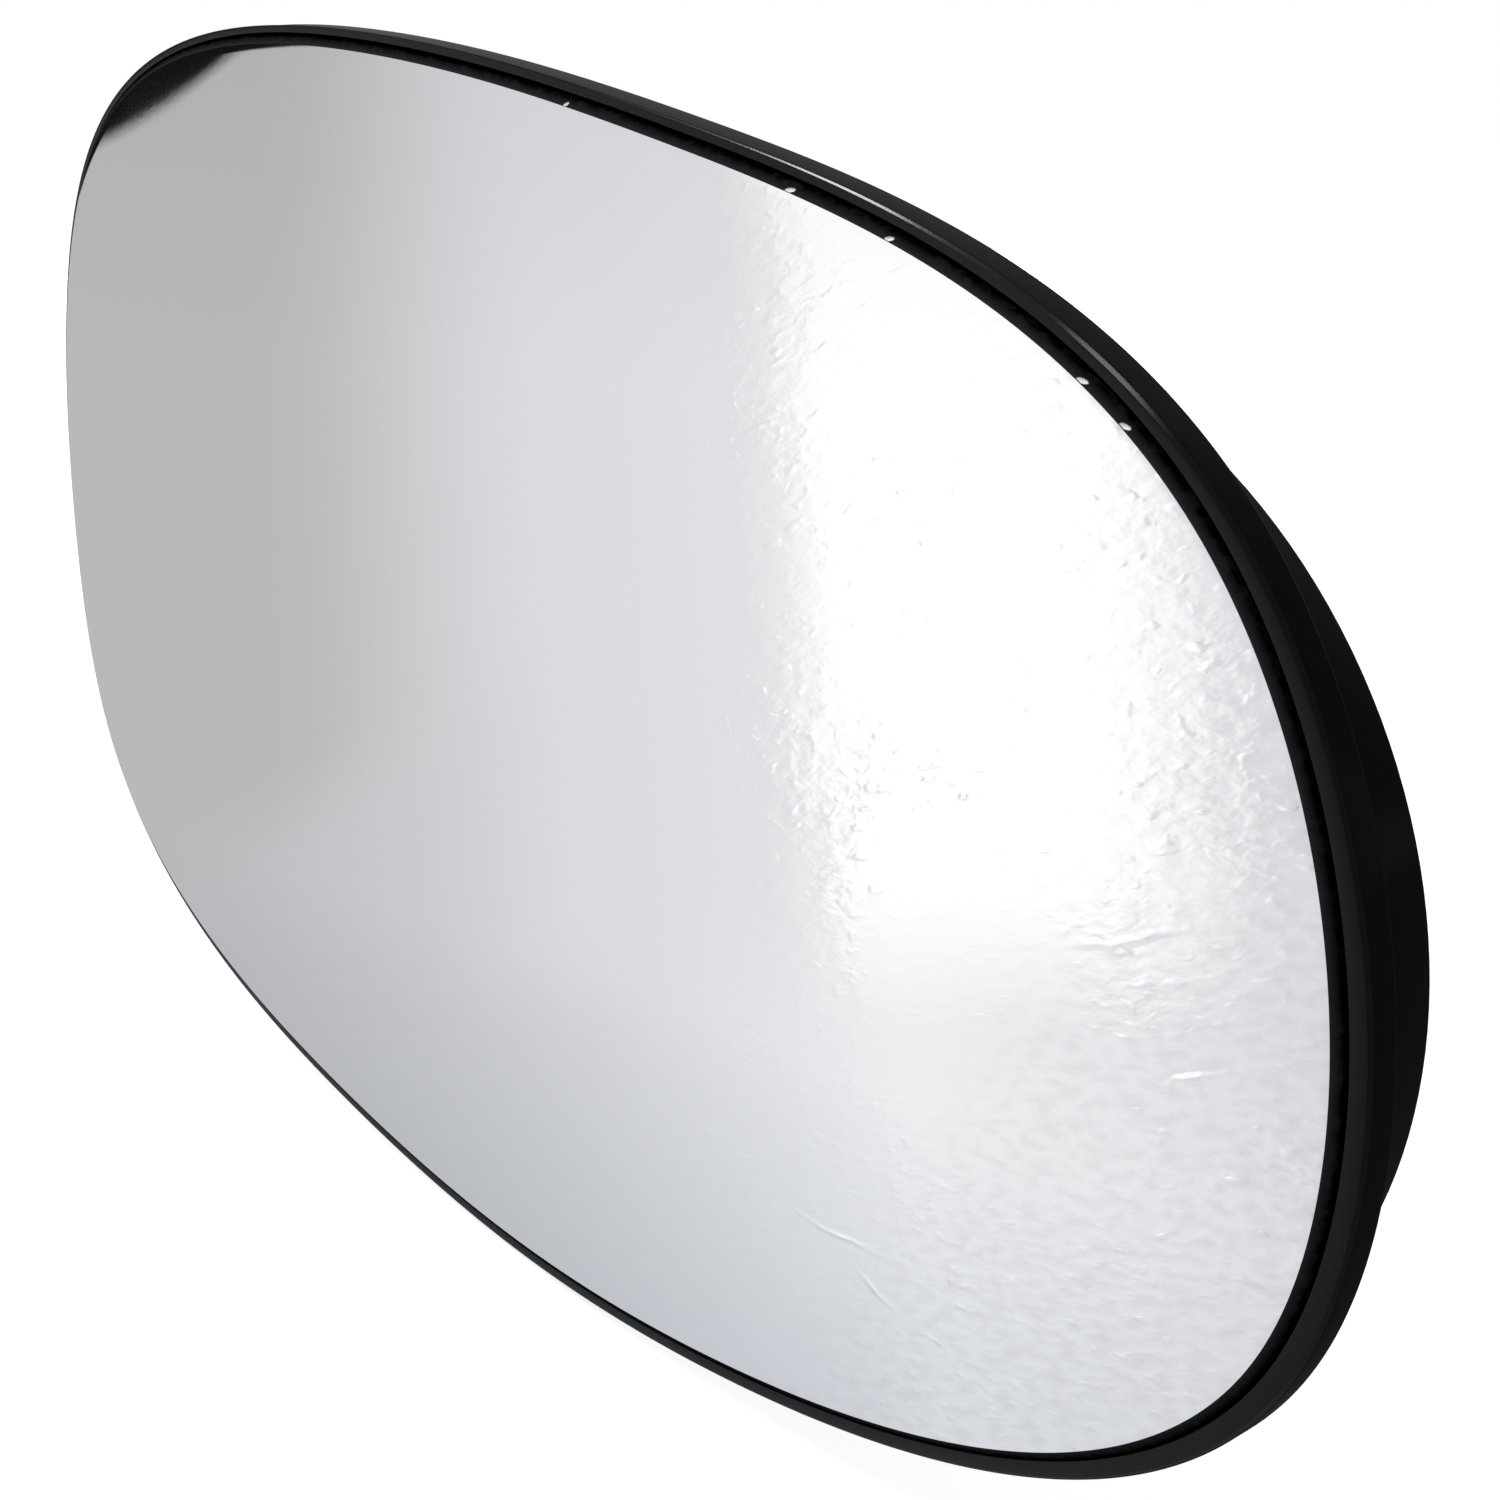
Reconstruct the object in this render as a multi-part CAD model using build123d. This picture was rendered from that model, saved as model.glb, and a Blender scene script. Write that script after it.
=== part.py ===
from build123d import *
from math import radians, tan
import os

os.makedirs("parts", exist_ok=True)

# Convex door mirror glass for the passenger side, with its moulded backing plate.
# Millimetres. X is to the right and Z is up as the driver sees the mirror, and the mirror looks to -Y.
# The origin is on the axis of the snap ring, at the flat seat inside it.

# Silvered face
face_width = 166.7
face_height = 101.8
face_radius = 1400.0
face_shift_left = 1.9
face_shift_up = 2.7

# Glass: the ground edge runs outside the silvered face
glass_thickness = 2.0
ground_width = 0.6
ground_drop = 0.35

# Double-sided foam pad between glass and plate
pad_thickness = 0.8
pad_inset = 2.0

# Tray of the plate: a drafted lip round the glass, its crest a little lower than the face.
# The pocket follows the glass, a little left of the tray's middle and above it.
tray_shift_right = 0.5
tray_shift_down = 0.3
floor_thickness = 1.5
lip_reach = 1.75
lip_clearance = 0.25
lip_drop = 0.5
lip_bevel = 0.25
tray_chamfer = 1.5
draft_angle = 2.0

# Back of the plate: skirt with round ends, snap ring and ribs
skirt_inset_end = 1.85
skirt_inset_side = 12.8
skirt_wall = 1.8
skirt_height = 7.4
skirt_bevel = 0.4
ring_bore_radius = 26.0
ring_wall = 2.4
ring_height = 9.5
ring_lead_in = 0.6
ring_slot_width = 2.0
ring_slot_depth = 5.5
groove_depth = 0.6
groove_width = 1.6
groove_height = 4.4
rib_thickness = 1.4
rib_height = 5.4
rib_offset = 15.0
seat_rise = 0.3

# Outline of the silvered face, clockwise from the right end, in parts of the half width and half height
outline_points = [
    (0.993, 0.049),
    (0.959, -0.425),
    (0.377, -0.944),
    (-0.344, -0.958),
    (-0.958, -0.512),
    (-0.996, 0.013),
    (-0.85, 0.723),
    (-0.144, 0.993),
    (0.334, 0.896),
    (0.85, 0.562),
]
outline_stations = 40

# Levels along Y, counted back from the seat
pad_back = glass_thickness + pad_thickness
floor_back = pad_back + floor_thickness
apex_y = -(floor_back + seat_rise)
rooted = pad_back + floor_thickness / 4
mean_sag = face_width * face_height / (8 * face_radius)
end_sag = (face_width / 2 + face_shift_left + lip_reach) ** 2 / (2 * face_radius)
crest_y = apex_y + lip_drop + mean_sag
front_y = apex_y - floor_back
rear_y = apex_y + end_sag + 2 * floor_back


def face_edge():
    """The closed curve round the silvered face."""
    points = [(across * face_width / 2, up * face_height / 2) for across, up in outline_points]
    return Pos(-face_shift_left, face_shift_up) * Spline(*points, periodic=True)


def outline(outward, y):
    """The face outline moved outward by a distance, as a face across Y at the given level."""
    edge = face_edge()
    moved = []
    for station in range(outline_stations):
        at = station / outline_stations
        along = edge % at
        moved.append(edge @ at + Vector(-along.Y, along.X) * outward)
    level = Plane(origin=(0, y, 0), x_dir=(1, 0, 0), z_dir=(0, -1, 0))
    return level * make_face(Spline(*moved, periodic=True))


def column(outward):
    """A straight block with the face outline moved outward, through glass and tray."""
    return extrude(outline(outward, front_y), amount=rear_y - front_y, dir=(0, 1, 0))


def drafted_column(outward, angle):
    """A block with the face outline moved outward at the crest's level, and wider behind it by an angle."""
    slope = tan(radians(angle))
    front = outline(outward + (front_y - crest_y) * slope, front_y)
    rear = outline(outward + (rear_y - crest_y) * slope, rear_y)
    return loft([front, rear], ruled=True)


def dome(depth):
    """The ball behind the surface that lies this deep under the mirror face."""
    return Pos(0, apex_y + face_radius, 0) * Sphere(face_radius - depth)


def across(sketch, low_y, high_y):
    """A flat shape drawn in X and Z, as a block from one level to another along Y."""
    level = Plane(origin=(0, low_y, 0), x_dir=(1, 0, 0), z_dir=(0, -1, 0))
    return extrude(level * sketch, amount=high_y - low_y, dir=(0, 1, 0))


def mirror_glass():
    """Curved glass sheet with a ground edge all round its front."""
    glass = column(ground_width) & dome(0) - dome(glass_thickness)
    front = glass.faces().filter_by(GeomType.SPHERE).sort_by(Axis.Y)[0]
    return chamfer(front.outer_wire().edges(), ground_drop, ground_width, reference=front)


def adhesive_pad():
    """Foam sheet that holds the glass to the floor of the tray."""
    return column(-pad_inset) & dome(glass_thickness) - dome(pad_back)


def tray():
    """Curved floor with the lip round the glass, thicker towards its root."""
    block = Pos(tray_shift_right, 0, -tray_shift_down) * drafted_column(lip_reach, draft_angle)
    body = block & dome(lip_drop) - dome(floor_back)
    back = body.faces().filter_by(GeomType.SPHERE).sort_by(Axis.Y)[-1]
    body = chamfer(back.outer_wire().edges(), tray_chamfer)
    body -= drafted_column(ground_width + lip_clearance, -draft_angle) - dome(pad_back)
    crest = body.faces().filter_by(GeomType.SPHERE).sort_by(SortBy.AREA)[0]
    return chamfer(crest.outer_wire().edges(), lip_bevel)


def skirt_shape(inward):
    """Plan of the skirt: straight sides and round ends, moved inward by a distance."""
    radius = face_height / 2 - skirt_inset_side
    span = face_width - 2 * (skirt_inset_end + radius)
    return SlotCenterToCenter(span, 2 * (radius - inward))


def skirt():
    """Wall behind the tray, with both edges of its back eased."""
    wall = across(skirt_shape(0) - skirt_shape(skirt_wall), apex_y, skirt_height)
    rear = wall.faces().sort_by(Axis.Y)[-1]
    return chamfer(rear.edges(), skirt_bevel)


def ribs():
    """Two pairs of ribs that tie the ring to the skirt."""
    bars = Sketch()
    for side in (-1, 1):
        bars += Pos(0, side * rib_offset) * Rectangle(face_width, rib_thickness)
        bars += Pos(side * rib_offset, 0) * Rectangle(rib_thickness, face_height)
    inside = skirt_shape(skirt_wall / 2) - Circle(ring_bore_radius + ring_wall / 2)
    return across(bars & inside, apex_y, rib_height)


def snap_ring():
    """Ring that the actuator's head snaps into, with a flat seat, a groove and four relief slots."""
    outer_radius = ring_bore_radius + ring_wall
    ring = across(Circle(outer_radius), apex_y, ring_height)
    ring -= across(Circle(ring_bore_radius), 0, ring_height)
    mouth = ring.edges().filter_by(GeomType.CIRCLE).group_by(Axis.Y)[-1].sort_by(SortBy.RADIUS)[0]
    ring = chamfer(mouth, ring_lead_in)
    ring -= across(Circle(ring_bore_radius + groove_depth), groove_height, groove_height + groove_width)
    for turn in (45, 135):
        slot = Rot(0, 0, turn) * Rectangle(3 * outer_radius, ring_slot_width)
        ring -= across(slot, ring_height - ring_slot_depth, ring_height)
    return ring


def backing_plate():
    """One black moulding: tray, skirt, ribs and snap ring."""
    back = skirt() + ribs() + snap_ring()
    return tray() + (back & dome(rooted))


export_step(mirror_glass(), "parts/mirror_glass.step")
export_step(adhesive_pad(), "parts/adhesive_pad.step")
export_step(backing_plate(), "parts/backing_plate.step")
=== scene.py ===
import math

import bmesh
import bpy
import numpy as np
from mathutils import Matrix, Vector


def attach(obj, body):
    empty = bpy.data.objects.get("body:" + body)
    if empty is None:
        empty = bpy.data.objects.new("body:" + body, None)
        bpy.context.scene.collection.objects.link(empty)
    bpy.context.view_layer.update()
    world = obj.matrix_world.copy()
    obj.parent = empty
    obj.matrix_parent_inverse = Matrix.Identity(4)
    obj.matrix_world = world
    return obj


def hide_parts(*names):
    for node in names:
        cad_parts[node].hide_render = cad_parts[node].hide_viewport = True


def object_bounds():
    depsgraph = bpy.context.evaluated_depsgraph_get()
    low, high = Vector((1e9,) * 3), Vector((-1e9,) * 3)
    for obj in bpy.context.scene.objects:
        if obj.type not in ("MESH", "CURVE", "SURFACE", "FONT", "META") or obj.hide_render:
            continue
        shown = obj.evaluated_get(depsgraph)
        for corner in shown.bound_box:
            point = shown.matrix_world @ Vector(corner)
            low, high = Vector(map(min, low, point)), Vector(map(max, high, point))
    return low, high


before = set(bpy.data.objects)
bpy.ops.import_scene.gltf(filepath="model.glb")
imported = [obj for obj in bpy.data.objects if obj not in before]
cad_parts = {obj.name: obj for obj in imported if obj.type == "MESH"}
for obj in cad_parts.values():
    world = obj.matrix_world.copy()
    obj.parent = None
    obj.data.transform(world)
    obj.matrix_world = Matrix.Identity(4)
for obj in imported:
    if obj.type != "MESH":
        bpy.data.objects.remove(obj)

cad_low, cad_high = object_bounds()

# Backing plate: the black tray that carries the glass, with a lip round its rim, and on its back a skirt,
# ribs and the ring that snaps onto the mirror's actuator. It is one injection moulding in black ABS.
# Sizes are in millimetres, and depths are counted from the mirror face.
face_width, face_height, face_radius = 166.7, 101.8, 1400.0
face_shift_left, face_shift_up, face_apex = 1.9, 2.7, -4.6
outline_points = np.array([
    (0.993, 0.049), (0.959, -0.425), (0.377, -0.944), (-0.344, -0.958), (-0.958, -0.512),
    (-0.996, 0.013), (-0.85, 0.723), (-0.144, 0.993), (0.334, 0.896), (0.85, 0.562),
])
rim_stations, floor_rows, floor_margin = 480, 11, 1.0
tray_shift_right, tray_shift_down = 0.5, 0.3
lip_reach, pocket_reach, lip_drop, lip_bevel = 1.75, 0.85, 0.5, 0.25
lip_draft = math.tan(math.radians(2))
pocket_root_round, pocket_edge_round, crest_round, bevel_round = 0.2, 0.1, 0.08, 0.15
floor_front, floor_back, floor_root, tray_chamfer, tray_round = 2.8, 4.3, 3.175, 1.5, 0.3
skirt_radius, skirt_span, skirt_wall, skirt_back = 38.1, 86.8, 1.8, 7.4
skirt_round, skirt_stations = 0.4, 288
rib_offset, rib_thickness, rib_back = 15.0, 1.4, 5.4
rib_round, rib_stations = 0.25, 14
ring_bore, ring_wall, ring_back, ring_lead_in = 26.0, 2.4, 9.5, 0.6
seat_round, lead_in_round, mouth_round, ring_round = 0.1, 0.2, 0.15, 0.3
slot_half, slot_floor, finger_steps, wall_row = 1.0, 4.0, 44, 1.5
groove_depth, groove_low, groove_high = 0.6, 4.4, 6.0
groove_round, groove_edge_round = 0.15, 0.1
plate_smooth_below = math.radians(35)
plate_black, plate_grey = "#0B0B0C", "#141416"


def glass_outline(shares):
    """Points (x, z) and outward directions of the silvered face's edge, at shares of its length in chords.

    The edge is the closed cubic spline through the outline's points. Between two points it is the cubic
    whose second derivative runs straight from one point's value to the next, and slope and bend join at
    every point.
    """
    points = outline_points * (face_width / 2, face_height / 2) + (-face_shift_left, face_shift_up)
    after = np.roll(points, -1, axis=0)
    chord = np.linalg.norm(after - points, axis=1)
    before = np.roll(chord, 1)
    slope = (after - points) / chord[:, None]
    eye = np.eye(len(points))
    system = 2 * (before + chord)[:, None] * eye
    system += before[:, None] * np.roll(eye, -1, axis=1) + chord[:, None] * np.roll(eye, 1, axis=1)
    bend = np.linalg.solve(system, 6 * (slope - np.roll(slope, 1, axis=0)))
    knots = np.concatenate([[0], np.cumsum(chord)])
    along = np.mod(shares, 1.0) * knots[-1]
    span = np.clip(np.searchsorted(knots, along, side="right") - 1, 0, len(points) - 1)
    width = chord[span][:, None]
    done = (along - knots[span])[:, None]
    left = width - done
    bend_here, bend_next = bend[span], np.roll(bend, -1, axis=0)[span]
    start = points[span] / width - bend_here * width / 6
    end = after[span] / width - bend_next * width / 6
    place = (bend_here * left**3 + bend_next * done**3) / (6 * width) + start * left + end * done
    run = (bend_next * done**2 - bend_here * left**2) / (2 * width) - start + end
    run /= np.linalg.norm(run, axis=1, keepdims=True)
    return place, np.stack([-run[:, 1], run[:, 0]], axis=1)


def under_face(x, z, depth):
    """Level y of the ball that lies this deep under the mirror face, over the point (x, z)."""
    return face_apex + face_radius - np.sqrt((face_radius - depth) ** 2 - x**2 - z**2)


def lifted(flat, depth):
    """Points (x, z) set at the given depth under the mirror face, as (x, y, z)."""
    x, z = flat[..., 0], flat[..., 1]
    return np.stack([x, under_face(x, z, depth), z], axis=-1)


def eased(corners, steps=5):
    """A line through corners (a, b, radius), each rounded by an arc that is tangent to both its sides."""
    flat = np.array(corners, float)
    line = [flat[:1, :2]]
    for before, here, after in zip(flat[:-2], flat[1:-1], flat[2:]):
        back = (before - here)[:2] / np.linalg.norm((before - here)[:2])
        on = (after - here)[:2] / np.linalg.norm((after - here)[:2])
        if here[2] == 0:
            line.append(here[None, :2])
            continue
        half = math.acos(np.clip(back @ on, -1, 1)) / 2
        middle = (back + on) / np.linalg.norm(back + on)
        side = (on - back) / np.linalg.norm(on - back)
        turn = np.linspace(half - math.pi / 2, math.pi / 2 - half, steps + 1)[:, None]
        centre = here[:2] + middle * here[2] / math.sin(half)
        line.append(centre + here[2] * (np.sin(turn) * side - np.cos(turn) * middle))
    line.append(flat[-1:, :2])
    return np.concatenate(line)


def closed_skin(loops, first=None, last=None):
    """Points and faces of a skin over a stack of closed loops, shape (loops, points, 3).

    Neighbouring loops are joined by quads. The ends run into the points first and last, or without them
    the last loop joins the first, as on a tube bent into a ring.
    """
    rows, columns = loops.shape[:2]
    points = loops.reshape(-1, 3)
    index = np.arange(rows * columns).reshape(rows, columns)
    over = np.roll(index, -1, axis=0) if first is None else index[1:]
    here = index if first is None else index[:-1]
    quads = np.stack([here, np.roll(here, -1, axis=1), np.roll(over, -1, axis=1), over], axis=-1)
    faces = quads.reshape(-1, 4).tolist()
    if first is not None:
        points = np.concatenate([points, [first, last]])
        top = np.full(columns, rows * columns)
        faces += np.stack([np.roll(index[0], -1), index[0], top], axis=-1).tolist()
        faces += np.stack([index[-1], np.roll(index[-1], -1), top + 1], axis=-1).tolist()
    return points, faces


def solid_object(name, points, faces):
    """A closed mesh object from points in millimetres, with its faces turned outward."""
    mesh = bpy.data.meshes.new(name)
    mesh.from_pydata((points / 1000).tolist(), [], faces)
    shell = bmesh.new()
    shell.from_mesh(mesh)
    bmesh.ops.recalc_face_normals(shell, faces=shell.faces)
    shell.to_mesh(mesh)
    shell.free()
    made = bpy.data.objects.new(name, mesh)
    bpy.context.scene.collection.objects.link(made)
    return made


def tray_points():
    """The tray: a section carried round the outline.

    The section gives distances out from the outline and depths under the face. The pocket side of it
    follows the glass, and the outer side follows the outline moved to the tray's own place. The lip's two
    walls lean by the draft for each millimetre behind the level of the crest. From the section's two ends
    the floor's front and back run in straight lines to the middle.
    """
    edge, out = glass_outline(np.arange(rim_stations) / rim_stations)
    moved = edge + (tray_shift_right, -tray_shift_down)
    chamfer_reach = lip_reach - tray_chamfer
    section = eased([
        (pocket_reach - floor_margin, floor_front, 0),
        (pocket_reach, floor_front, pocket_root_round),
        (pocket_reach, lip_drop, pocket_edge_round),
        (lip_reach - lip_bevel, lip_drop, crest_round),
        (lip_reach, lip_drop + lip_bevel, bevel_round),
        (lip_reach, floor_back - tray_chamfer, tray_round),
        (chamfer_reach, floor_back, tray_round),
        (chamfer_reach - floor_margin, floor_back, 0),
    ])
    fall = under_face(edge[:, 0], edge[:, 1], 0.0) - face_apex
    mean_fall = face_width * face_height / (8 * face_radius)
    behind_crest = section[:, 1:] - lip_drop + fall - mean_fall
    side = np.where(np.arange(len(section)) <= section[:, 1].argmin(), -1, 1)[:, None]
    reach = section[:, :1] + side * behind_crest * lip_draft
    line = np.where(side[..., None] < 0, edge, moved)
    rim = lifted(line + out * reach[..., None], section[:, 1:])
    share = np.linspace(0, 1, floor_rows + 2)[1:-1][:, None, None]
    front = lifted(rim[0][:, ::2] * share, floor_front)
    back = lifted(rim[-1][:, ::2] * share[::-1], floor_back)
    ends = lifted(np.zeros((2, 2)), np.array([floor_front, floor_back]))
    return closed_skin(np.concatenate([front, rim, back]), ends[0], ends[1])


def rooted(x, z, level):
    """Points (x, level, z), none of them in front of the level where the back's walls root in the floor."""
    return np.stack([x, np.maximum(level, under_face(x, z, floor_root)), z], axis=-1)


def skirt_points():
    """The skirt: a wall section carried round a slot shape, two half circles joined by straight sides."""
    half_way = skirt_span + math.pi * skirt_radius
    half, along = np.divmod(np.arange(skirt_stations) / skirt_stations * 2 * half_way, half_way)
    sign = 1 - 2 * half
    turn = np.clip((along - skirt_span) / skirt_radius, 0, math.pi)
    section = eased([
        (0, face_apex, 0), (0, skirt_back, skirt_round),
        (-skirt_wall, skirt_back, skirt_round), (-skirt_wall, face_apex, 0),
    ])
    radius = skirt_radius + section[:, :1]
    x = sign * (np.minimum(along, skirt_span) - skirt_span / 2 + radius * np.sin(turn))
    z = sign * radius * np.cos(turn)
    return closed_skin(rooted(x, z, section[:, 1:]))


def rib_points(upright, side, end):
    """One rib: a bar section with eased back edges, carried straight from the ring to the skirt."""
    half = rib_thickness / 2
    section = eased([
        (0, face_apex, 0), (half, face_apex, 0), (half, rib_back, rib_round), (-half, rib_back, rib_round),
        (-half, face_apex, 0), (-half / 2, face_apex, 0),
    ])
    near = math.sqrt((ring_bore + ring_wall / 2) ** 2 - rib_offset**2)
    wall = skirt_radius - skirt_wall / 2
    far = wall if upright else skirt_span / 2 + math.sqrt(wall**2 - rib_offset**2)
    run = end * np.linspace(near, far, rib_stations)[:, None] + 0 * section[:, 0]
    over = side * rib_offset + section[:, 0] + 0 * run
    loops = rooted(over, run, section[:, 1]) if upright else rooted(run, over, section[:, 1])
    return closed_skin(loops, loops[0].mean(axis=0), loops[-1].mean(axis=0))


def ring_points():
    """The snap ring: a section turned about Y, with four slots across its back.

    The columns stand at equal steps of angle in each quarter, moved clear of the slot's straight sides by
    the angle whose sine is the slot's half width over the radius. The quads above the slots' floor are
    left out in the slots, and a flat face closes each finger's end.
    """
    outer, groove = ring_bore + ring_wall, ring_bore + groove_depth
    seat = [(part * ring_bore / 4, 0) for part in (1, 2, 3)]
    low = np.array([*seat, (ring_bore - seat_round, 0), (ring_bore, seat_round), (ring_bore, slot_floor)])
    high = eased([
        (ring_bore, slot_floor, 0), (ring_bore, groove_low, 0),
        (groove, groove_low, groove_round), (groove, groove_high, groove_round),
        (ring_bore, groove_high, groove_edge_round), (ring_bore, ring_back - ring_lead_in, lead_in_round),
        (ring_bore + ring_lead_in, ring_back, mouth_round), (outer, ring_back, ring_round),
        (outer, slot_floor, 0),
    ])
    root = [(outer, wall_row), (outer, face_apex), (ring_bore / 2, face_apex)]
    section = np.concatenate([low, high[1:], root])
    floor_in, floor_out = len(low) - 1, len(low) + len(high) - 2
    clear = np.arcsin(slot_half / section[:, :1])
    quarter = math.pi / 4 + clear + np.linspace(0, 1, finger_steps + 1) * (math.pi / 2 - 2 * clear)
    turn = (quarter[:, None, :] + (np.arange(4) * math.pi / 2)[:, None]).reshape(len(section), -1)
    loops = rooted(section[:, :1] * np.cos(turn), section[:, :1] * np.sin(turn), section[:, 1:])
    rows, columns = loops.shape[:2]
    points, faces = closed_skin(loops, (0, 0, 0), lifted(np.zeros(2), floor_root))
    index = np.arange(rows * columns).reshape(rows, columns)
    finger_end = index[:, finger_steps::finger_steps + 1]
    next_start = np.roll(index[:, ::finger_steps + 1], -1, axis=1)
    in_slot = set(finger_end[floor_in:floor_out].ravel().tolist())
    walls = (rows - 1) * columns
    kept = [face for face in faces[:walls] if face[0] not in in_slot] + faces[walls:]
    kept += np.stack([
        finger_end[floor_in], next_start[floor_in], next_start[floor_out], finger_end[floor_out],
    ], axis=-1).tolist()
    kept += finger_end[floor_in:floor_out + 1].T[:, ::-1].tolist()
    kept += next_start[floor_in:floor_out + 1].T.tolist()
    return points, kept


def united(base, others):
    """The base with the other solids united into it, as one moulding, sharp only at its steep edges."""
    for other in others:
        union = base.modifiers.new("union", "BOOLEAN")
        union.operation, union.solver, union.object = "UNION", "MANIFOLD", other
    bpy.context.view_layer.update()
    shaped = base.evaluated_get(bpy.context.evaluated_depsgraph_get())
    whole = bpy.data.meshes.new_from_object(shaped)
    base.modifiers.clear()
    base.data = whole
    for other in others:
        bpy.data.objects.remove(other)
    whole.materials.clear()
    whole.polygons.foreach_set("material_index", np.zeros(len(whole.polygons), np.int32))
    whole.shade_smooth()
    whole.set_sharp_from_angle(angle=plate_smooth_below)
    return base


def linear(hex_colour):
    """An sRGB hex colour as linear red, green, blue and alpha."""
    part = np.array([int(hex_colour[k:k + 2], 16) for k in (1, 3, 5)]) / 255
    return (*np.where(part <= 0.04045, part / 12.92, ((part + 0.055) / 1.055) ** 2.4), 1.0)


def add(tree, kind, inputs=None, **settings):
    """Adds a node with its settings. An input is a number, a colour, or another node's output to link."""
    made = tree.nodes.new(kind)
    for name, value in settings.items():
        setattr(made, name, value)
    for name, value in (inputs or {}).items():
        if isinstance(value, bpy.types.NodeSocket):
            tree.links.new(value, made.inputs[name])
        else:
            made.inputs[name].default_value = value
    return made


def between(tree, value, low, high, start=0.0, end=1.0, way="LINEAR"):
    """A value mapped so that low becomes start and high becomes end, and held at these outside."""
    return add(tree, "ShaderNodeMapRange", {
        "Value": value, "From Min": low, "From Max": high, "To Min": start, "To Max": end,
    }, interpolation_type=way).outputs["Result"]


def combined(tree, operation, *values):
    """One number from two or three others."""
    return add(tree, "ShaderNodeMath", dict(enumerate(values)), operation=operation).outputs[0]


def mixed(tree, factor, first, second, way="MIX"):
    """A colour between two, or their product by way of MULTIPLY. Each is a hex colour or a node's output."""
    first, second = (linear(one) if isinstance(one, str) else one for one in (first, second))
    inputs = {"Factor": factor, "A": first, "B": second}
    return add(tree, "ShaderNodeMix", inputs, data_type="RGBA", blend_type=way).outputs["Result"]


def bumped(tree, height, strength, distance):
    """A normal that tilts with the slope of a height."""
    inputs = {"Height": height, "Strength": strength, "Distance": distance}
    return add(tree, "ShaderNodeBump", inputs).outputs["Normal"]


def new_material(name):
    """A node material with its tree, which holds only the place on the object, in metres."""
    made = bpy.data.materials.new(name)
    made.use_nodes = True
    tree = made.node_tree
    tree.nodes.clear()
    return made, tree, add(tree, "ShaderNodeTexCoord").outputs["Object"]


def surfaced(tree, inputs):
    """Ends a material's tree in one Principled surface."""
    shader = add(tree, "ShaderNodeBsdfPrincipled", inputs)
    add(tree, "ShaderNodeOutputMaterial", {"Surface": shader.outputs["BSDF"]})


# Black ABS, moulded against a finely spark-eroded tool: a deep black with a soft gloss, broken by a grain
# of about 0.35 mm and by flow that makes patches of 14 mm a little shinier.
flow_size, grain_size, grain_relief = 0.014, 0.00035, 0.00002
moulded_abs, tree, place = new_material("moulded_black_abs")
flow = add(tree, "ShaderNodeTexNoise", {"Vector": place, "Scale": 1 / flow_size, "Detail": 3.0})
grain = add(tree, "ShaderNodeTexNoise", {"Vector": place, "Scale": 1 / grain_size, "Detail": 2.0})
surfaced(tree, {
    "Base Color": mixed(tree, flow.outputs["Fac"], plate_black, plate_grey),
    "Roughness": between(tree, flow.outputs["Fac"], 0.3, 0.7, 0.14, 0.2),
    "Normal": bumped(tree, grain.outputs["Fac"], 0.02, grain_relief),
    "IOR": 1.54, "Specular IOR Level": 0.12,
})

tray = solid_object("backing_plate_moulding", *tray_points())
skirt = solid_object("skirt", *skirt_points())
ring = solid_object("ring", *ring_points())
ribs = [
    solid_object("rib", *rib_points(upright, side, end))
    for upright in (False, True) for side in (-1, 1) for end in (-1, 1)
]
plate = united(tray, [skirt, ring, *ribs])
plate.data.materials.append(moulded_abs)
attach(plate, "root")
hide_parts("backing_plate")

# Adhesive pad: the double-sided foam sheet, die-cut to the glass, that bonds it to the floor of the tray.
# It is closed-cell polyethylene foam, dark grey, and only its cut edge would ever be seen.
foam_dark, foam_light = "#2B2B2D", "#3C3C3E"
cell_size, cell_relief = 0.0003, 0.0001
foam_tape, tree, place = new_material("closed_cell_foam")
cells = add(tree, "ShaderNodeTexVoronoi", {"Vector": place, "Scale": 1 / cell_size})
surfaced(tree, {
    "Base Color": mixed(tree, cells.outputs["Distance"], foam_dark, foam_light),
    "Normal": bumped(tree, cells.outputs["Distance"], 0.6, cell_relief),
    "Roughness": 0.9, "IOR": 1.5,
})
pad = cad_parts["adhesive_pad"]
pad.data.materials.clear()
pad.data.materials.append(foam_tape)

# Mirror glass: a 2 mm sheet of float glass, bent over a ball-shaped mould, cut to the outline and silvered.
# Its front edge is ground to a narrow slope, which has broken out in a few small chips along the top. A
# clear film, wrinkled towards its right end, still covers the face.
glass_thickness, ground_width, ground_drop = 2.0, 0.6, 0.35
face_margin, arris_round, back_round, silvered_rows = 0.6, 0.08, 0.15, 3
slope_rows = (0.15, 0.23, 0.31, 0.39, 0.47, 0.55, 0.63, 0.8)
face_rows, face_gather, back_row_step = 32, 1.3, 4
chip_shares = np.array([0.799, 0.8525, 0.8724, 0.9101, 0.919])
chip_half_lengths, chip_depth = np.array([0.2, 0.34, 0.28, 0.34, 0.32]), 0.1
chip_middle, chip_half_width, chip_slant = 0.3, 0.27, 0.7
chip_inward, chip_downward, chip_window, chip_stations = 0.5, 0.87, 0.0018, 25
glass_smooth_below = math.radians(22)
silver, film_cloud = "#F6F7F7", "#EEEEEE"
# The ground edge's dark tones are painted shade, and the fracture's white is a painted glint.
ground_black, ground_grey, arris_grey, fracture_glint_white = "#020202", "#1C1C1D", "#2C2C2E", "#F6F7F7"
paint_grey, paint_dark = "#3A3D40", "#313437"


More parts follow.
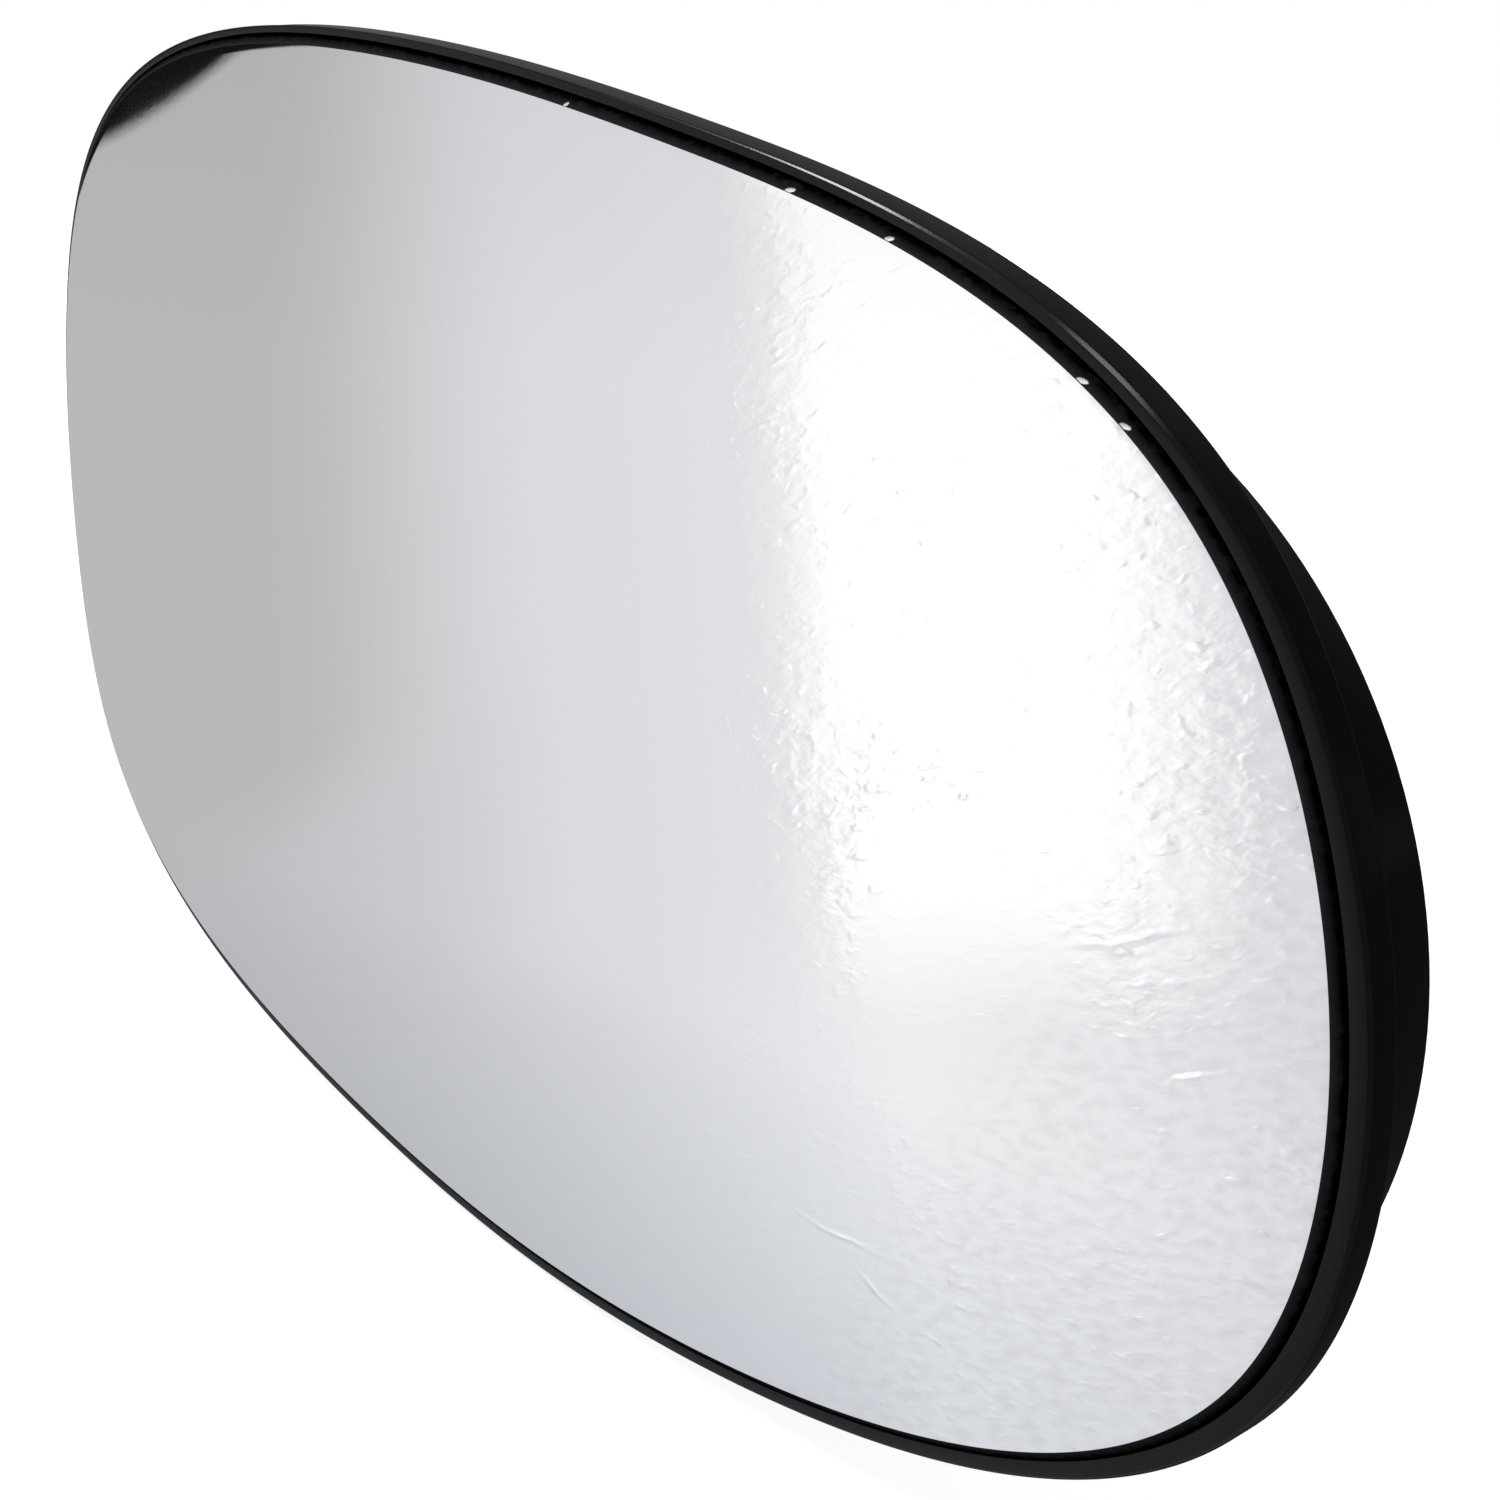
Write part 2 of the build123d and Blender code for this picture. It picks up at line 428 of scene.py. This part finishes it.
def glass_points():
    """The sheet of glass: its edge section carried round the outline, with both faces drawn in to the middle.

    A chip is a slanted scoop out of the ground slope. Its depth falls with the squares of the distance
    along the edge and of the distance across the slope, each as a part of the scoop's half size. Returns
    points, faces, the row of each face, how much of a fracture each point is and how near it is to the
    silvered face, both from 0 to 1, and the number of rows in the edge section.
    """
    fine = (chip_shares[:, None] + np.linspace(-chip_window, chip_window, chip_stations)).ravel()
    even = np.arange(rim_stations) / rim_stations
    shares = np.unique(np.mod(np.concatenate([even, fine]), 1.0).round(7))
    edge, out = glass_outline(shares)
    section = eased([
        (-face_margin, 0.0, 0), (0.0, 0.0, arris_round),
        *((part * ground_width, part * ground_drop, 0) for part in slope_rows),
        (ground_width, ground_drop, arris_round), (ground_width, glass_thickness, back_round),
        (ground_width - face_margin, glass_thickness, 0),
    ], steps=4)
    clear_of_chips = 4 * (section[:, 1] > ground_drop)
    across = (section[:, 0] / ground_width - chip_middle) / chip_half_width + clear_of_chips
    across = across[:, None, None]
    length = np.linalg.norm(np.roll(edge, -1, axis=0) - edge, axis=1).sum()
    turned = np.mod(shares - chip_shares[:, None] + 0.5, 1.0) - 0.5
    along = turned * length / chip_half_lengths[:, None]
    scoop = np.clip(1 - (along - chip_slant * across) ** 2 - across**2, 0, 1).max(axis=1)
    reach = section[:, :1] - scoop * chip_depth * chip_inward
    depth = section[:, 1:] + scoop * chip_depth * chip_downward
    rim = lifted(edge + out * reach[..., None], depth)
    share = 1 - np.linspace(1, 0, face_rows + 2)[1:-1][:, None, None] ** face_gather
    front = lifted(rim[0][:, ::2] * share, 0.0)
    back = lifted(rim[-1][:, ::2] * share[::-back_row_step], glass_thickness)
    ends = lifted(np.zeros((2, 2)), np.array([0.0, glass_thickness]))
    points, faces = closed_skin(np.concatenate([front, rim, back]), ends[0], ends[1])
    on_rim = slice(front.size // 3, front.size // 3 + scoop.size)
    fracture, arris = np.zeros((2, len(points)))
    fracture[on_rim] = np.minimum(scoop * 3, 1).ravel()
    arris[on_rim] = np.repeat(np.clip(1 - section[:, 0] / ground_width, 0, 1), len(shares))
    walls = len(front) + len(rim) + len(back) - 1
    row = np.repeat([*range(walls), 0, walls], len(shares)) - len(front)
    return points, faces, row, fracture, arris, len(rim)


points, faces, row, fracture, arris, rim_rows = glass_points()
glass = solid_object("silvered_glass", points, faces)
finish_of_row = np.where(row < silvered_rows, 0, np.where(row < rim_rows - 1, 1, 2))
glass.data.polygons.foreach_set("material_index", finish_of_row.astype(np.int32))
for name, values in (("fracture", fracture), ("arris", arris)):
    kept = glass.data.attributes.new(name, "FLOAT", "POINT")
    kept.data.foreach_set("value", values.astype(np.float32))
glass.data.shade_smooth()
glass.data.set_sharp_from_angle(angle=glass_smooth_below)

# Silvered float glass under a clear film: a bright, nearly neutral mirror. The film's ripples are 0.8 mm
# wide and 1.8 mm long and lean up to the right, with a few sharper strokes and four creases among them. They
# fade out to the left, upwards, and in a round patch of about 28 mm where the film lies flat. At the lower
# right, where it is bonded, their crests are a little cloudy. Sizes are in metres, apart from the creases.
ripple_length, ripple_width, ripple_rise, through = 0.0018, 0.0008, 22, 0.1
wander_size, wander_reach, patch_size, film_relief = 0.003, 0.001, 0.016, 0.00008
calm_middle, calm_radius = (0.0555, 0, -0.003), 0.016
# Each crease in millimetres: its middle's x and z, its rise in degrees, its half length and its half width.
creases = (
    (44.3, -25.9, 3, 6.5, 0.5), (47.8, -28.7, -24, 3.0, 0.45),
    (67.5, 5.9, 26, 6.0, 0.45), (73.0, -1.0, 31, 3.5, 0.4),
)
silvered, tree, place = new_material("silvered_float_glass")
wander = add(tree, "ShaderNodeTexNoise", {"Vector": place, "Scale": 1 / wander_size, "Detail": 2.0})
drawn = add(tree, "ShaderNodeVectorMath", {
    0: wander.outputs["Color"], 1: (wander_reach, 0.0, wander_reach), 2: place,
}, operation="MULTIPLY_ADD").outputs[0]
laid = add(tree, "ShaderNodeMapping", {
    "Vector": drawn, "Rotation": (0, -math.radians(ripple_rise), 0),
    "Scale": (ripple_length, through, ripple_width),
}, vector_type="TEXTURE").outputs[0]
ripple = add(tree, "ShaderNodeTexNoise", {
    "Vector": laid, "Scale": 1.0, "Detail": 2.0, "Roughness": 0.4,
}).outputs["Fac"]
streaks = add(tree, "ShaderNodeTexNoise", {
    "Vector": laid, "W": 3.7, "Scale": 1.0, "Detail": 1.0,
}, noise_dimensions="4D").outputs["Fac"]
stroke = between(tree, streaks, 0.57, 0.8, 0.0, 0.6, "SMOOTHSTEP")
folds = 0.0
for x, z, rise, half_length, half_width in creases:
    folded = add(tree, "ShaderNodeMapping", {
        "Vector": drawn, "Location": (x / 1000, 0, z / 1000), "Rotation": (0, -math.radians(rise), 0),
        "Scale": (half_length / 1000, through, half_width / 1000),
    }, vector_type="TEXTURE").outputs[0]
    fold = add(tree, "ShaderNodeTexGradient", {"Vector": folded}, gradient_type="QUADRATIC_SPHERE")
    folds = combined(tree, "MAXIMUM", folds, fold.outputs["Fac"])
sides = add(tree, "ShaderNodeSeparateXYZ", {"Vector": place}).outputs
loose = between(tree, sides["X"], 0.02, 0.05, 0.04, 1.0, "SMOOTHSTEP")
lower = between(tree, sides["Z"], 0.045, 0.006, 0.18, 1.0)
patches = add(tree, "ShaderNodeTexNoise", {
    "Vector": place, "Scale": 1 / patch_size, "Detail": 2.0,
}).outputs["Fac"]
patch = between(tree, patches, 0.4, 0.62, 0.3, 1.0, "SMOOTHSTEP")
spread = add(tree, "ShaderNodeMapping", {
    "Vector": place, "Location": calm_middle, "Scale": (calm_radius, through, calm_radius),
}, vector_type="TEXTURE").outputs[0]
pressed = add(tree, "ShaderNodeTexGradient", {"Vector": spread}, gradient_type="SPHERICAL")
calm = between(tree, pressed.outputs["Fac"], 0.1, 0.45, 1.0, 0.12)
lifting = loose
for part in (lower, patch, calm):
    lifting = combined(tree, "MULTIPLY", lifting, part)
waves = combined(tree, "ADD", ripple, stroke)
raised = combined(tree, "MULTIPLY_ADD", waves, lifting, folds)
corner = combined(tree, "MULTIPLY_ADD", sides["Z"], -0.5, sides["X"])
thick, glued = between(tree, ripple, 0.42, 0.66), between(tree, corner, 0.056, 0.066)
clouded = combined(tree, "MULTIPLY", thick, glued)
surfaced(tree, {
    "Base Color": mixed(tree, clouded, silver, film_cloud), "Metallic": 1.0,
    "Roughness": between(tree, patches, 0.3, 0.7, 0.02, 0.045),
    "Normal": bumped(tree, raised, 1.0, film_relief),
})

# Ground glass edge: dull, with painted shade that makes it nearly black, for the dark tray it looks into, and
# a mottle of 0.8 mm from the wheel; a little lighter towards the silvered face. Where it is chipped, the
# fracture is painted white, a painted glint of the light it catches.
mottle_size, mottle_relief = 0.0008, 0.00005
ground, tree, place = new_material("ground_glass_edge")
mottle = add(tree, "ShaderNodeTexNoise", {
    "Vector": place, "Scale": 1 / mottle_size, "Detail": 4.0,
}).outputs["Fac"]
# Painted shade makes the edge nearly black, and the chips' white, mixed in below, is a painted glint.
tone = mixed(tree, between(tree, mottle, 0.48, 0.75), ground_black, ground_grey)
for name, colour in (("arris", arris_grey), ("fracture", fracture_glint_white)):
    marked = add(tree, "ShaderNodeAttribute", attribute_name=name)
    tone = mixed(tree, marked.outputs["Fac"], tone, colour)
surfaced(tree, {
    "Base Color": tone, "Roughness": 0.45, "IOR": 1.52, "Specular IOR Level": 0.0,
    "Normal": bumped(tree, mottle, 0.5, mottle_relief),
})

# Mirror back paint: the grey lacquer that seals the silver, sprayed on, with an orange peel of about 1.5 mm.
peel_size, peel_relief = 0.0015, 0.00005
paint, tree, place = new_material("mirror_back_paint")
peel = add(tree, "ShaderNodeTexNoise", {
    "Vector": place, "Scale": 1 / peel_size, "Detail": 2.0,
}).outputs["Fac"]
surfaced(tree, {
    "Base Color": mixed(tree, peel, paint_grey, paint_dark), "Roughness": 0.55,
    "Normal": bumped(tree, peel, 0.4, peel_relief),
})

for finish in (silvered, ground, paint):
    glass.data.materials.append(finish)
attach(glass, "root")
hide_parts("mirror_glass")

# Floor: a plain pale studio floor that keeps the shadow. What a mirror sees of it is a painted reflection of
# a room, glowing grey to the left, white to the front and dark behind, with painted shade near the object, so
# that the glass has something to show. Tones are set by degrees round the vertical, from the left towards the
# front.
floor_level, floor_radius, floor_sides = cad_low.z, 1.5, 96
floor_grey, white, floor_glow = "#B3B3B3", "#FFFFFF", 0.8
tone_centre = (0.1376, 0.0834, 0.0589)
far_tones = (
    (-120, "#3A3A3C"), (-90, "#787878"), (-8, "#787878"), (10, "#B6B6B6"), (25, "#B6B6B6"),
    (36.5, "#DADADE"), (42.6, "#DEDEE1"), (45.6, "#FFFFFF"), (53.6, "#FFFFFF"), (60, "#DADADE"),
    (80, "#94949A"), (150, "#8A8A90"),
)
near_tones = (
    (0, "#A6A7AC"), (24, "#BBBCBF"), (28.5, "#C4C5C8"), (43, "#E3E4E7"), (46.5, "#ECEDEF"),
    (54, "#E4E5E8"), (60, "#D9D9DD"), (80, "#94949A"), (150, "#8A8A90"),
)
# These are tones of the painted room reflection; the one that dims the near floor is painted shade.
room_behind, painted_floor_shade, room_level, room_dark = "#3A3A3C", "#E2E4E8", "#F5F5F5", "#121314"
room_strength = 1.1
table_edge, table_blur = (0.479, -0.2172, -0.8505), (-0.02, 0.022)
dark_way, dark_edge = (-0.9166, -0.1693, 0.3622), (25.35, 24.95)
under_lean, under_from, under_full = -0.3, 0.26, 0.408


def painted_room_reflection(tree, direction):
    """Colour of the painted room reflection in a direction, a glow that stands in for a room's light and
    shade.

    It follows the angle round the vertical, and is dark behind the object. From 24 to 28 degrees down it
    goes over to the tones of the near floor, which on the left reach up to a slanting edge. It dims further
    down and to the left, as painted shade of the floor near the object, and a little towards the level of the
    eye. It is dark inside a wide round patch on the left.
    """
    back = add(tree, "ShaderNodeVectorMath", {
        0: direction, 1: (-1.0, -1.0, -1.0),
    }, operation="MULTIPLY").outputs[0]
    turned = add(tree, "ShaderNodeSeparateXYZ", {"Vector": back}).outputs
    around = combined(tree, "ARCTAN2", turned["Y"], turned["X"])
    share = between(tree, around, -math.pi, math.pi)
    far = add(tree, "ShaderNodeValToRGB", {"Fac": share})
    near = add(tree, "ShaderNodeValToRGB", {"Fac": share})
    for ramp, tones in ((far.color_ramp, far_tones), (near.color_ramp, near_tones)):
        for degrees, tone in tones:
            ramp.elements.new(degrees / 360 + 0.5).color = linear(tone)
        ramp.elements[0].color = ramp.elements[-1].color = linear(room_behind)
    far.color_ramp.interpolation = "EASE"
    sine = {degrees: math.sin(math.radians(degrees)) for degrees in (-1, 9, 24, 28)}
    down = between(tree, turned["Z"], sine[24], sine[28])
    past = add(tree, "ShaderNodeVectorMath", {0: direction, 1: table_edge}, operation="DOT_PRODUCT")
    table = between(tree, past.outputs["Value"], *table_blur)
    left = between(tree, around, math.radians(37), math.radians(29))
    nearer = combined(tree, "MAXIMUM", down, combined(tree, "MULTIPLY", table, left))
    colour = mixed(tree, nearer, far.outputs["Color"], near.outputs["Color"])
    slant = combined(tree, "MULTIPLY_ADD", around, under_lean, turned["Z"])
    colour = mixed(tree, between(tree, slant, under_from, under_full), colour, painted_floor_shade, "MULTIPLY")
    colour = mixed(tree, between(tree, turned["Z"], sine[9], sine[-1]), colour, room_level, "MULTIPLY")
    aim = add(tree, "ShaderNodeVectorMath", {0: direction, 1: dark_way}, operation="DOT_PRODUCT")
    edges = (math.cos(math.radians(degrees)) for degrees in dark_edge)
    return mixed(tree, between(tree, aim.outputs["Value"], *edges), colour, room_dark)


def mirrored_rays(path):
    """1 for a ray that a glossy or clear surface sent on, and otherwise 0."""
    glossy, clear = path.outputs["Is Glossy Ray"], path.outputs["Is Transmission Ray"]
    return combined(path.id_data, "MAXIMUM", glossy, clear)


bpy.ops.mesh.primitive_circle_add(
    vertices=floor_sides, radius=floor_radius, fill_type="NGON", location=(0, 0, floor_level),
)
floor = bpy.context.object
floor.name = "floor"
pale, tree, place = new_material("pale_floor")
away = add(tree, "ShaderNodeVectorMath", {
    0: place, 1: (tone_centre[0], tone_centre[1], tone_centre[2] - floor_level),
}, operation="SUBTRACT")
unit = add(tree, "ShaderNodeVectorMath", {0: away.outputs[0]}, operation="NORMALIZE")
path = add(tree, "ShaderNodeLightPath")
glow = combined(tree, "MULTIPLY", path.outputs["Is Camera Ray"], floor_glow)
matte = add(tree, "ShaderNodeBsdfDiffuse", {"Color": linear(floor_grey)})
light = add(tree, "ShaderNodeEmission", {"Color": linear(white), "Strength": glow})
lit = add(tree, "ShaderNodeAddShader", {0: matte.outputs[0], 1: light.outputs[0]})
depth = add(tree, "ShaderNodeSeparateXYZ", {"Vector": place}).outputs["Y"]
# Behind the object the floor's painted reflection is dark.
rear = between(tree, depth, -0.004, 0.003)
tone = mixed(tree, rear, painted_room_reflection(tree, unit.outputs[0]), room_behind)
image = add(tree, "ShaderNodeEmission", {"Color": tone, "Strength": room_strength})
either = add(tree, "ShaderNodeMixShader", {
    0: mirrored_rays(path), 1: lit.outputs[0], 2: image.outputs[0],
})
add(tree, "ShaderNodeOutputMaterial", {"Surface": either.outputs[0]})
floor.data.materials.append(pale)

# Room: white behind the object for the camera, a plain even light on matt surfaces, and the painted room
# reflection where something glossy reflects it.
even_light, camera_light = 0.5, 1.0
room = bpy.data.worlds.new("room")
bpy.context.scene.world = room
room.use_nodes = True
tree = room.node_tree
tree.nodes.clear()
direction = add(tree, "ShaderNodeTexCoord").outputs["Generated"]
path = add(tree, "ShaderNodeLightPath")
strength = add(tree, "ShaderNodeMix", {
    "Factor": path.outputs["Is Camera Ray"], "A": even_light, "B": camera_light,
}).outputs[0]
plain = add(tree, "ShaderNodeBackground", {"Color": linear(white), "Strength": strength})
image = add(tree, "ShaderNodeBackground", {"Color": painted_room_reflection(tree, direction), "Strength": room_strength})
either = add(tree, "ShaderNodeMixShader", {
    0: mirrored_rays(path), 1: plain.outputs[0], 2: image.outputs[0],
})
add(tree, "ShaderNodeOutputWorld", {"Surface": either.outputs[0]})


def softbox(name, towards, distance, size, watts, in_gloss=True):
    """A square lamp in a direction from the object, turned to face it, and shown in reflections or not."""
    lamp = bpy.data.lights.new(name, "AREA")
    lamp.energy, lamp.size = watts, size
    held = bpy.data.objects.new(name, lamp)
    bpy.context.scene.collection.objects.link(held)
    way = Vector(towards).normalized()
    held.location = way * distance
    held.rotation_mode = "QUATERNION"
    held.rotation_quaternion = way.to_track_quat("Z", "Y")
    held.visible_glossy = in_gloss


# Lamps: two softboxes above the front, small enough to draw thin highlights on the lip, and one low behind
# the plate, which lights its black back and stays out of every reflection.
softbox("key_softbox", (-0.423, -0.263, 0.867), 0.72, 0.12, 2.2)
softbox("fill_softbox", (0.123, -0.461, 0.879), 0.74, 0.14, 0.9)
softbox("back_softbox", (-0.75, 0.62, 0.06), 0.75, 0.18, 5.0, in_gloss=False)

# Camera: 50 mm lens on a 36 mm square frame, close to the right of the mirror and a little above it.
camera = bpy.data.cameras.new("camera")
camera.lens, camera.sensor_width, camera.clip_start = 50.0, 36.0, 0.005
camera_place = Vector((0.1376, -0.0926, 0.0589))
camera_right, camera_up = Vector((0.6491, 0.7608, 0.003)), Vector((-0.2664, 0.2236, 0.9376))
viewer = bpy.data.objects.new("camera", camera)
bpy.context.scene.collection.objects.link(viewer)
turn = Matrix((camera_right, camera_up, camera_right.cross(camera_up))).transposed()
viewer.matrix_world = Matrix.Translation(camera_place) @ turn.to_4x4()
bpy.context.scene.camera = viewer
bpy.context.scene.view_settings.view_transform = "Standard"
